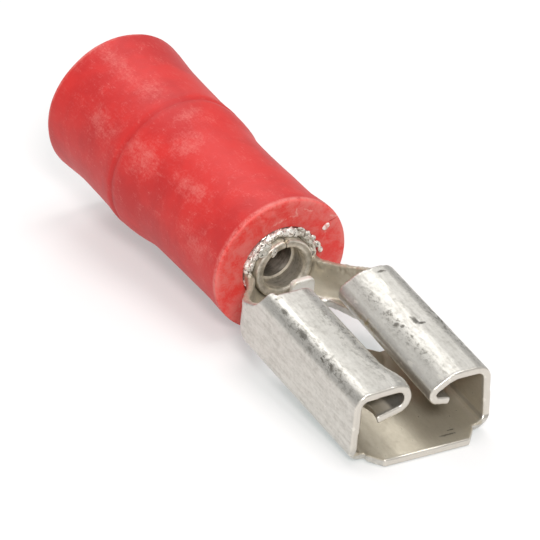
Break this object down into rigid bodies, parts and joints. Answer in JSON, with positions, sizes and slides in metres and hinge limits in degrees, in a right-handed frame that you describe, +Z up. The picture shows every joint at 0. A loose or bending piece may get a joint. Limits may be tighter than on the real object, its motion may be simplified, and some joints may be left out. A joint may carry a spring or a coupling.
{
  "type": "female spade terminal",
  "caption": "Insulated female spade terminal: a folded sheet-metal socket for a flat tab, a neck and a wire barrel, with a soft vinyl sleeve over the barrel.",
  "frame": {"origin": "middle of the terminal's footprint, on the table it lies on", "axes": "+Y runs from the socket's mouth towards the wire end of the sleeve, level; +Z is up, away from the table, with the socket's open side upward; +X is to the right seen from the mouth's side with the open side up"},
  "size_m": [0.0068, 0.0244, 0.0074],
  "materials": {
    "tinned_sheet": "tinned, bright but scuffed",
    "tinned_liner": "tinned, dull",
    "red_vinyl": "matte, mottled"
  },
  "bodies": {
    "root": {"terminal_body": "tinned_sheet", "barrel_liner": "tinned_liner", "insulating_sleeve": "red_vinyl"}
  },
  "joints": []
}
